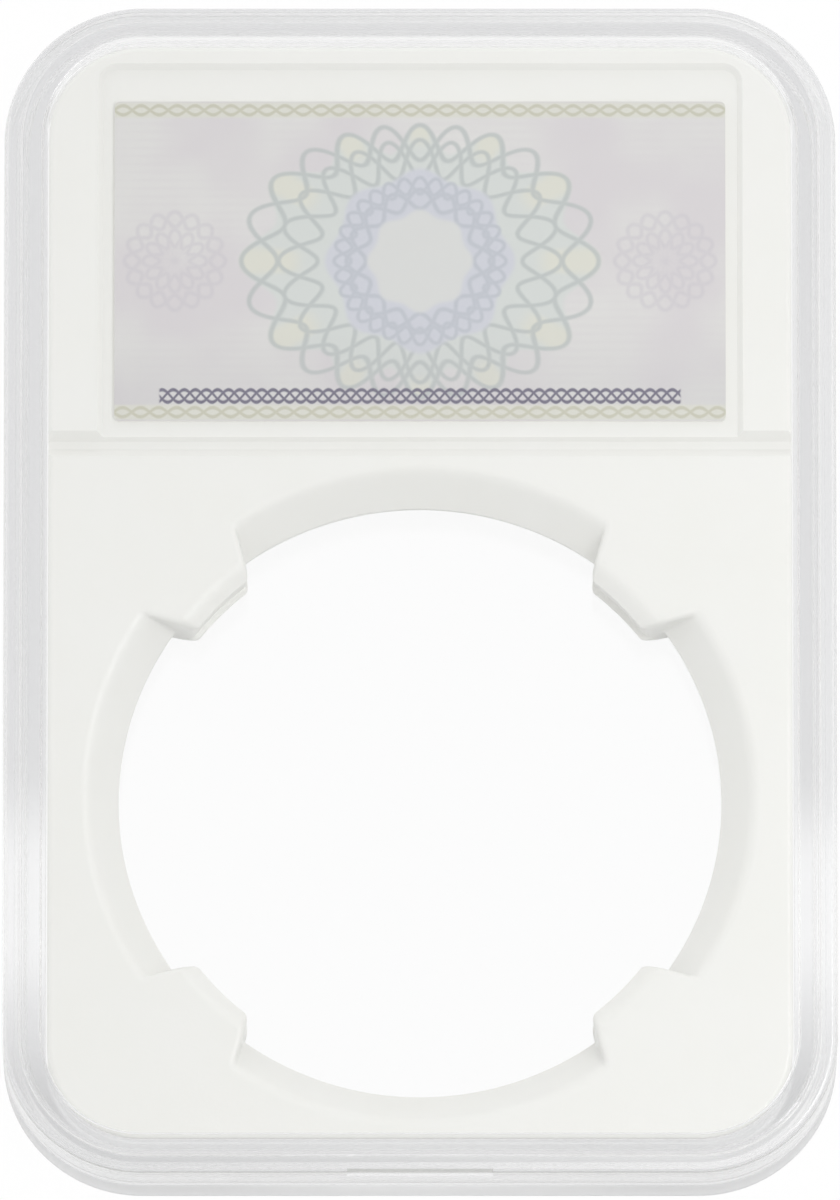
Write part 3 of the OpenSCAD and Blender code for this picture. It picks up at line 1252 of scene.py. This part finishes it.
@dataclass(frozen=True)
class CoinOpening:
    """The flared opening round the coin's axis, with its prongs and their soft moulded edges.

    Heights are measured from the middle of the insert's thickness, and angles about the coin's axis.
    """

    half_thickness: float
    throat_radius: float = 21.7 * MM
    mouth_radius: float = 24.0 * MM
    half_band: float = 0.25 * MM
    prong_count: int = 4
    prong_half_width: float = 2.82 * MM
    prong_spread: float = math.radians(29.0)
    groove_radius: float = 20.6 * MM
    lip_radius: float = 20.25 * MM
    half_groove: float = 1.5 * MM
    lip_start: float = 1.65 * MM
    lip_end: float = 1.95 * MM
    tip_bevel: float = 0.95 * MM
    corner_blend: float = 1.1 * MM
    root_blend: float = 0.4 * MM
    edge_round: float = 0.45 * MM
    edge_steps: int = 5
    flat_margin: float = 0.1 * MM
    tip_degrees: float = 5.5
    side_degrees: float = 13.0
    column_counts: tuple[int, ...] = (5, 26, 20)
    level_counts: tuple[int, ...] = (2, 5, 2, 3, 3)

    def wall(self, height: float) -> float:
        """Returns the flared wall's radius at a height."""
        rise = max(abs(height) - self.half_band, 0.0) / (self.half_thickness - self.half_band)
        return self.throat_radius + rise * (self.mouth_radius - self.throat_radius)

    def tip(self, height: float) -> float:
        """Gives the groove, lip and bevel of a prong's tip.

        Args:
            height: The height that is asked for.

        Returns:
            The tip's radius there.
        """
        level = abs(height)
        if level <= self.half_groove:
            return self.groove_radius
        if level <= self.lip_start:
            share = (level - self.half_groove) / (self.lip_start - self.half_groove)
            return self.groove_radius + share * (self.lip_radius - self.groove_radius)
        if level <= self.lip_end:
            return self.lip_radius
        share = (level - self.lip_end) / (self.half_thickness - self.lip_end)
        return self.lip_radius + share * self.tip_bevel

    def side(self, angle: float) -> float:
        """Finds where a prong's side crosses a ray from the coin's axis.

        Args:
            angle: The ray's angle from the prong's middle.

        Returns:
            The crossing's radius, or one well outside the mouth where the ray misses the side.
        """
        far = 2 * self.mouth_radius
        spread_slope = math.tan(self.prong_spread)
        lean = math.cos(angle) * spread_slope - math.sin(abs(angle))
        start = self.lip_radius * spread_slope - self.prong_half_width
        return start / lean if lean * far > start else far

    def radius(self, angle: float, height: float) -> float:
        """Returns the opening's radius at an angle from a prong's middle and at a height."""
        prong = -soft_least(-self.tip(height), -self.side(angle), self.corner_blend)
        return soft_least(self.wall(height), prong, self.root_blend)

    def point(self, turn: float, angle: float, height: float) -> Vector:
        """Returns a point of the opening, from the middle of the insert on the coin's axis."""
        radius = self.radius(angle, height)
        return Vector((radius * math.cos(turn), radius * math.sin(turn), height))

    def angles(self) -> list[tuple[float, float]]:
        """Lists the loft's columns, closest where the prongs' sides are.

        Returns:
            Pairs of the angle about the coin's axis and the angle from the nearest prong's middle.
        """
        part = math.tau / self.prong_count
        edge = part / 2
        marks = (0.0, self.tip_degrees, self.side_degrees, math.degrees(edge))
        half = [math.radians(degrees) for degrees in spread(marks, self.column_counts)]
        local = [-edge, *(-angle for angle in reversed(half[1:])), *half]
        middles = [(prong + 0.5) * part for prong in range(self.prong_count)]
        return [(middle + angle, angle) for middle in middles for angle in local]

    def levels(self) -> list[float]:
        """Lists the loft's rows between the rounded edges.

        Returns:
            The rows' heights, lowest first.
        """
        top = self.half_thickness - self.edge_round
        marks = (0.0, self.half_band, self.half_groove, self.lip_start, self.lip_end, top)
        upper = [*spread(marks, self.level_counts), top]
        return [-level for level in reversed(upper[1:])] + upper

    def _face_rows(self, columns: list[tuple[float, float]]) -> list[list[Vector]]:
        """Makes the rounded edge at the upper face, and a flat margin round it.

        Args:
            columns: The loft's columns.

        Returns:
            The rows, from the wall outwards.
        """
        top = self.half_thickness
        below = [self.point(*column, top - self.edge_round) for column in columns]
        corners = [self.point(*column, top) for column in columns]
        outward = []
        for i, corner in enumerate(corners):
            along = corners[(i + 1) % len(corners)] - corners[i - 1]
            away = Vector((along.y, -along.x, 0.0)).normalized()
            outward.append(away if away.dot(corner) > 0 else -away)
        rows = []
        for step in range(1, self.edge_steps + 1):
            u = step / self.edge_steps
            rows.append([
                low * (1 - u) ** 2 + corner * (2 * u * (1 - u)) + (corner + away * self.edge_round) * u ** 2
                for low, corner, away in zip(below, corners, outward)
            ])
        reach = self.edge_round + self.flat_margin
        rows.append([corner + away * reach for corner, away in zip(corners, outward)])
        return rows

    def rows(self) -> list[list[Vector]]:
        """Makes the loft's closed rows.

        Returns:
            The rows, from the lower face's margin up to the upper one's.
        """
        columns = self.angles()
        upper = self._face_rows(columns)
        lower = [[Vector((p.x, p.y, -p.z)) for p in row] for row in reversed(upper)]
        wall = [[self.point(*column, level) for column in columns] for level in self.levels()]
        return lower + wall + upper


@dataclass
class CoinInsert:
    """The white insert, whose coin opening is lofted with soft edges into the solid's plate."""

    finish: SatinPlastic
    node: str = "coin_insert"
    name: str = "insert_moulding"
    opening: CoinOpening = CoinOpening(half_thickness=2.75 * MM)
    groove_gap: float = 1.0 * MM
    seat_gap: float = 0.02 * MM
    weld: float = 0.002 * MM
    sharp_angle: float = math.radians(30.0)
    flat_angle: float = math.radians(1.0)

    def _mark_edge(self, edge: bmesh.types.BMEdge) -> None:
        """Shades an edge as a crease if it turns sharply or bounds a level face.

        Args:
            edge: An edge of the plate.
        """
        level = [abs(face.normal.z) > math.cos(self.flat_angle) for face in edge.link_faces]
        limit = self.flat_angle if len(set(level)) > 1 else self.sharp_angle
        edge.smooth = edge.calc_face_angle(0.0) < limit

    def _plate(self) -> bmesh.types.BMesh:
        """Takes the solid's skin without its coin opening and the two faces that this opens into.

        Returns:
            The open skin.
        """
        low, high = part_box(self.node)
        axis = SEATS["coin_seat"]
        plate = bmesh.new()
        plate.from_mesh(frame["nodes"][self.node].data)
        bmesh.ops.remove_doubles(plate, verts=plate.verts[:], dist=self.weld)
        land_end = axis.y + self.opening.mouth_radius + self.groove_gap

        def is_dropped(face: bmesh.types.BMFace) -> bool:
            """Tells whether a face belongs to the opening or to a face round it.

            Args:
                face: A face of the skin.

            Returns:
                True if the loft takes the face's place.
            """
            spots = [vert.co for vert in face.verts]
            if all(abs(spot.z - low.z) < self.weld for spot in spots):
                return True
            if all(abs(spot.z - high.z) < self.weld and spot.y < land_end + self.weld for spot in spots):
                return True
            return all((spot - axis).xy.length < self.opening.mouth_radius + self.weld for spot in spots)

        dropped = [face for face in plate.faces if is_dropped(face)]
        bmesh.ops.delete(plate, geom=dropped, context="FACES")
        for edge in plate.edges:
            self._mark_edge(edge)
        return plate

    def _loft(self, plate: bmesh.types.BMesh) -> None:
        """Lofts the opening into the plate and fills the two faces round it.

        Args:
            plate: The open skin, which is closed here.
        """
        low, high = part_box(self.node)
        middle = Vector((*SEATS["coin_seat"].xy, (low.z + high.z) / 2))
        outlines = [edge for edge in plate.edges if edge.is_boundary]
        rows = [[plate.verts.new(middle + spot) for spot in row] for row in self.opening.rows()]
        count = len(rows[0])
        for under, over in zip(rows, rows[1:]):
            for i in range(count):
                j = (i + 1) % count
                plate.faces.new((under[i], under[j], over[j], over[i]))
        for row, level in ((rows[0], low.z), (rows[-1], high.z)):
            rim = [plate.edges.get((row[i], row[(i + 1) % count])) for i in range(count)]
            outline = [edge for edge in outlines if all(abs(v.co.z - level) < self.weld for v in edge.verts)]
            bmesh.ops.triangle_fill(plate, use_beauty=True, edges=rim + outline)
            for edge in outline:
                edge.smooth = False
        bmesh.ops.recalc_face_normals(plate, faces=plate.faces[:])
        for edge in {edge for row in rows for vert in row for edge in vert.link_edges}:
            edge.smooth = edge.calc_face_angle(0.0) < self.sharp_angle
        for vert in plate.verts:
            if vert.co.z < low.z + self.weld:
                vert.co.z += self.seat_gap

    def build(self) -> bpy.types.Object:
        """Makes the insert's mesh.

        Returns:
            The piece, which stands for the solid.
        """
        plate = self._plate()
        self._loft(plate)
        mesh = bpy.data.meshes.new(self.name)
        plate.to_mesh(mesh)
        plate.free()
        mesh.polygons.foreach_set("use_smooth", [True] * len(mesh.polygons))
        piece = add_object(self.name, mesh)
        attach(piece, Body.INSERT.value)
        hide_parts(self.node)
        return piece

    def dress(self, piece: bpy.types.Object) -> None:
        """Gives the insert its satin finish."""
        dress(piece, self.finish.material())


@dataclass
class LabelCard:
    """The printed card in the insert's pocket."""

    finish: PrintedCard
    node: str = "label_card"

    def build(self) -> bpy.types.Object:
        """Returns the card's own solid."""
        return frame["nodes"][self.node]

    def dress(self, piece: bpy.types.Object) -> None:
        """Prints the card."""
        dress(piece, self.finish.material())


@dataclass
class Studio:
    """Pale floor, soft light and a long-lens camera above the case."""

    floor_side: float = 4.0
    floor_drop: float = 0.05 * MM
    floor_colour: Colour = (0.9, 0.9, 0.9)
    floor_glow: float = 0.96
    mirror_glow: float = 0.7
    white: Colour = (1.0, 1.0, 1.0)
    zenith: Colour = (0.87, 0.87, 0.87)
    near_sky: Colour = (0.87, 0.87, 0.88)
    far_sky: Colour = (1.5, 1.5, 1.51)
    far_way: Vector = Vector((-0.5, 0.9, 0.0))
    far_span: Span = (-0.8, 0.8)
    zenith_span: Span = (0.0, 0.9)
    key_place: Vector = Vector((0.12, -0.02, 0.22))
    key_side: float = 0.1
    key_power: float = 0.13
    lens: float = 1000.0
    sensor: float = 36.0
    frame_height: float = 86.54 * MM
    tilt_down: float = math.radians(12.8)

    def _ray(self, graph: Graph, ray: Ray) -> Socket:
        """Returns 1 for one kind of ray."""
        return graph.add("LightPath").outputs[ray.value]

    def build_floor(self) -> bpy.types.Object:
        """Lays a floor that shows white to the camera, keeps the case's shadow and is clear from below.

        Returns:
            The floor.
        """
        half = self.floor_side / 2
        mesh = bpy.data.meshes.new("studio_floor")
        corners = [(x * half, y * half, -self.floor_drop) for x, y in ((-1, -1), (1, -1), (1, 1), (-1, 1))]
        mesh.from_pydata(corners, [], [(0, 1, 2, 3)])
        floor = add_object("studio_floor", mesh)
        material, graph, shader = new_material("studio_white")
        graph.tree.nodes.remove(shader)
        matt = graph.add("BsdfDiffuse")
        graph.feed(matt.inputs["Color"], self.floor_colour)
        seen = graph.math("MULTIPLY", self._ray(graph, Ray.CAMERA), self.floor_glow)
        mirrored = graph.math("MULTIPLY", self._ray(graph, Ray.GLOSSY), self.mirror_glow)
        shown = graph.fold("MAXIMUM", [seen, mirrored, self._ray(graph, Ray.TRANSMISSION)])
        lit = graph.mix(shown, matt.outputs[0], graph.add("Emission").outputs[0])
        under = graph.add("NewGeometry").outputs["Backfacing"]
        graph.show(graph.mix(under, lit, graph.add("BsdfTransparent").outputs[0]))
        dress(floor, material)
        return floor

    def build_light(self) -> None:
        """Sets the even sky and one soft lamp above the right side."""
        world = bpy.data.worlds.new("studio_sky")
        bpy.context.scene.world = world
        world.use_nodes = True
        graph = Graph(world.node_tree)
        way = graph.add("TexCoord").outputs["Generated"]
        along = graph.add("VectorMath", operation="DOT_PRODUCT")
        graph.feed(along.inputs[0], way)
        along.inputs[1].default_value = self.far_way
        far = graph.ramp(along.outputs["Value"], *self.far_span)
        horizon = graph.blend(far, self.near_sky, self.far_sky)
        tent = graph.blend(graph.ramp(graph.split(way)[2], *self.zenith_span), horizon, self.zenith)
        sky = graph.blend(self._ray(graph, Ray.CAMERA), tent, self.white)
        graph.feed(graph.tree.nodes["Background"].inputs["Color"], sky)
        lamp = bpy.data.lights.new("soft_key", "AREA")
        lamp.shape = "DISK"
        lamp.size = self.key_side
        lamp.energy = self.key_power
        key = add_object("soft_key", lamp)
        key.location = self.key_place
        key.rotation_euler = self.key_place.to_track_quat("Z", "Y").to_euler()

    def build_camera(self) -> bpy.types.Object:
        """Aims a long-lens camera at the middle of the case.

        Returns:
            The camera, which the scene uses.
        """
        low, high = CAD_BOX
        middle = (low + high) / 2
        away = Vector((0.0, -math.tan(self.tilt_down), 1.0)).normalized()
        right = Vector((1.0, 0.0, 0.0))
        up = away.cross(right)
        distance = self.frame_height / self.sensor * self.lens
        data = bpy.data.cameras.new("camera")
        data.lens = self.lens
        data.sensor_width = self.sensor
        data.clip_end = 2 * distance
        camera = add_object("camera", data)
        axes = Matrix((right, up, away)).transposed()
        camera.matrix_world = Matrix.Translation(middle + away * distance) @ axes.to_4x4()
        bpy.context.scene.camera = camera
        return camera


def main() -> None:
    """Builds the studio and dresses the case piece by piece."""
    logging.basicConfig(level=logging.INFO, format="%(name)s: %(message)s")
    bpy.context.scene.view_settings.view_transform = "Standard"
    studio = Studio()
    studio.build_camera()
    studio.build_floor()
    studio.build_light()
    parts = (
        RearHalf(ClearAcrylic("clear_rear_half"), "rear_shell", Body.REAR),
        FrontHalf(ClearAcrylic("clear_front_half"), "front_shell", Body.FRONT),
        CoinInsert(SatinPlastic("white_satin")),
        LabelCard(PrintedCard("printed_card_face", sum(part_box("label_card"), Vector()) / 2)),
    )
    for part in parts:
        piece = part.build()
        part.dress(piece)
        log.info("%s built and dressed in %s", piece.name, piece.active_material.name)


if __name__ == "__main__":
    main()
